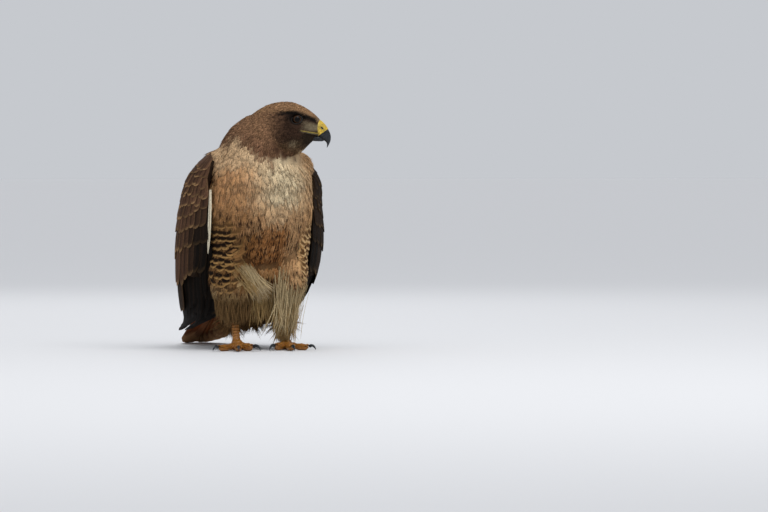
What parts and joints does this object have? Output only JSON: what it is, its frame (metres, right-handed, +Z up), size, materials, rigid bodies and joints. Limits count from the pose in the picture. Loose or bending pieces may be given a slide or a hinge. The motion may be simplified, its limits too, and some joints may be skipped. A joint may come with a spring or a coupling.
{
  "type": "red-tailed hawk",
  "caption": "Life-size still model of a red-tailed hawk standing upright with folded wings, its head turned to its left and its tail tip laid on the floor.",
  "frame": {"origin": "on the floor, under the middle of the bird's bounding box", "axes": "+Z up, -Y the way the breast and toes point, +X the bird's left"},
  "size_m": [0.225, 0.3576, 0.3523],
  "materials": {
    "head_feathers": "soft short feathers, warm brown with paler edges and a dark stripe behind the eye",
    "neck_feathers": "soft overlapping feathers, brown with tawny edges",
    "breast_feathers": "soft overlapping feathers, buff on the breast, rufous brown with dark bars on belly and flanks",
    "rump_feathers": "soft brown feathers and longer coverts",
    "wing_feathers": "stiff dark brown vanes, the coverts edged with buff, the primaries near black",
    "tail_feathers": "stiff rufous vanes with a thin dark band and a pale tip",
    "leg_feathers": "long loose cream and buff feathers",
    "leg_scales": "orange-yellow scaled skin, slightly glossy",
    "cere": "smooth waxy yellow skin",
    "horn": "polished slate-black horn",
    "eye": "dark brown, wet and glossy"
  },
  "bodies": {
    "root": {"head": "head_feathers", "neck": "neck_feathers", "torso": "breast_feathers", "rump": "rump_feathers", "tail": "tail_feathers", "wing_left": "wing_feathers", "wing_right": "wing_feathers", "thigh_left": "leg_feathers", "thigh_right": "leg_feathers", "tarsus_left": "leg_scales", "tarsus_right": "leg_scales", "foot_left": "leg_scales", "foot_right": "leg_scales", "eye_left": "eye", "eye_right": "eye", "cere": "cere", "gape_left": "cere", "gape_right": "cere", "bill_upper": "horn", "bill_lower": "horn", "claw_hind_left": "horn", "claw_inner_left": "horn", "claw_middle_left": "horn", "claw_outer_left": "horn", "claw_hind_right": "horn", "claw_inner_right": "horn", "claw_middle_right": "horn", "claw_outer_right": "horn"}
  },
  "joints": []
}
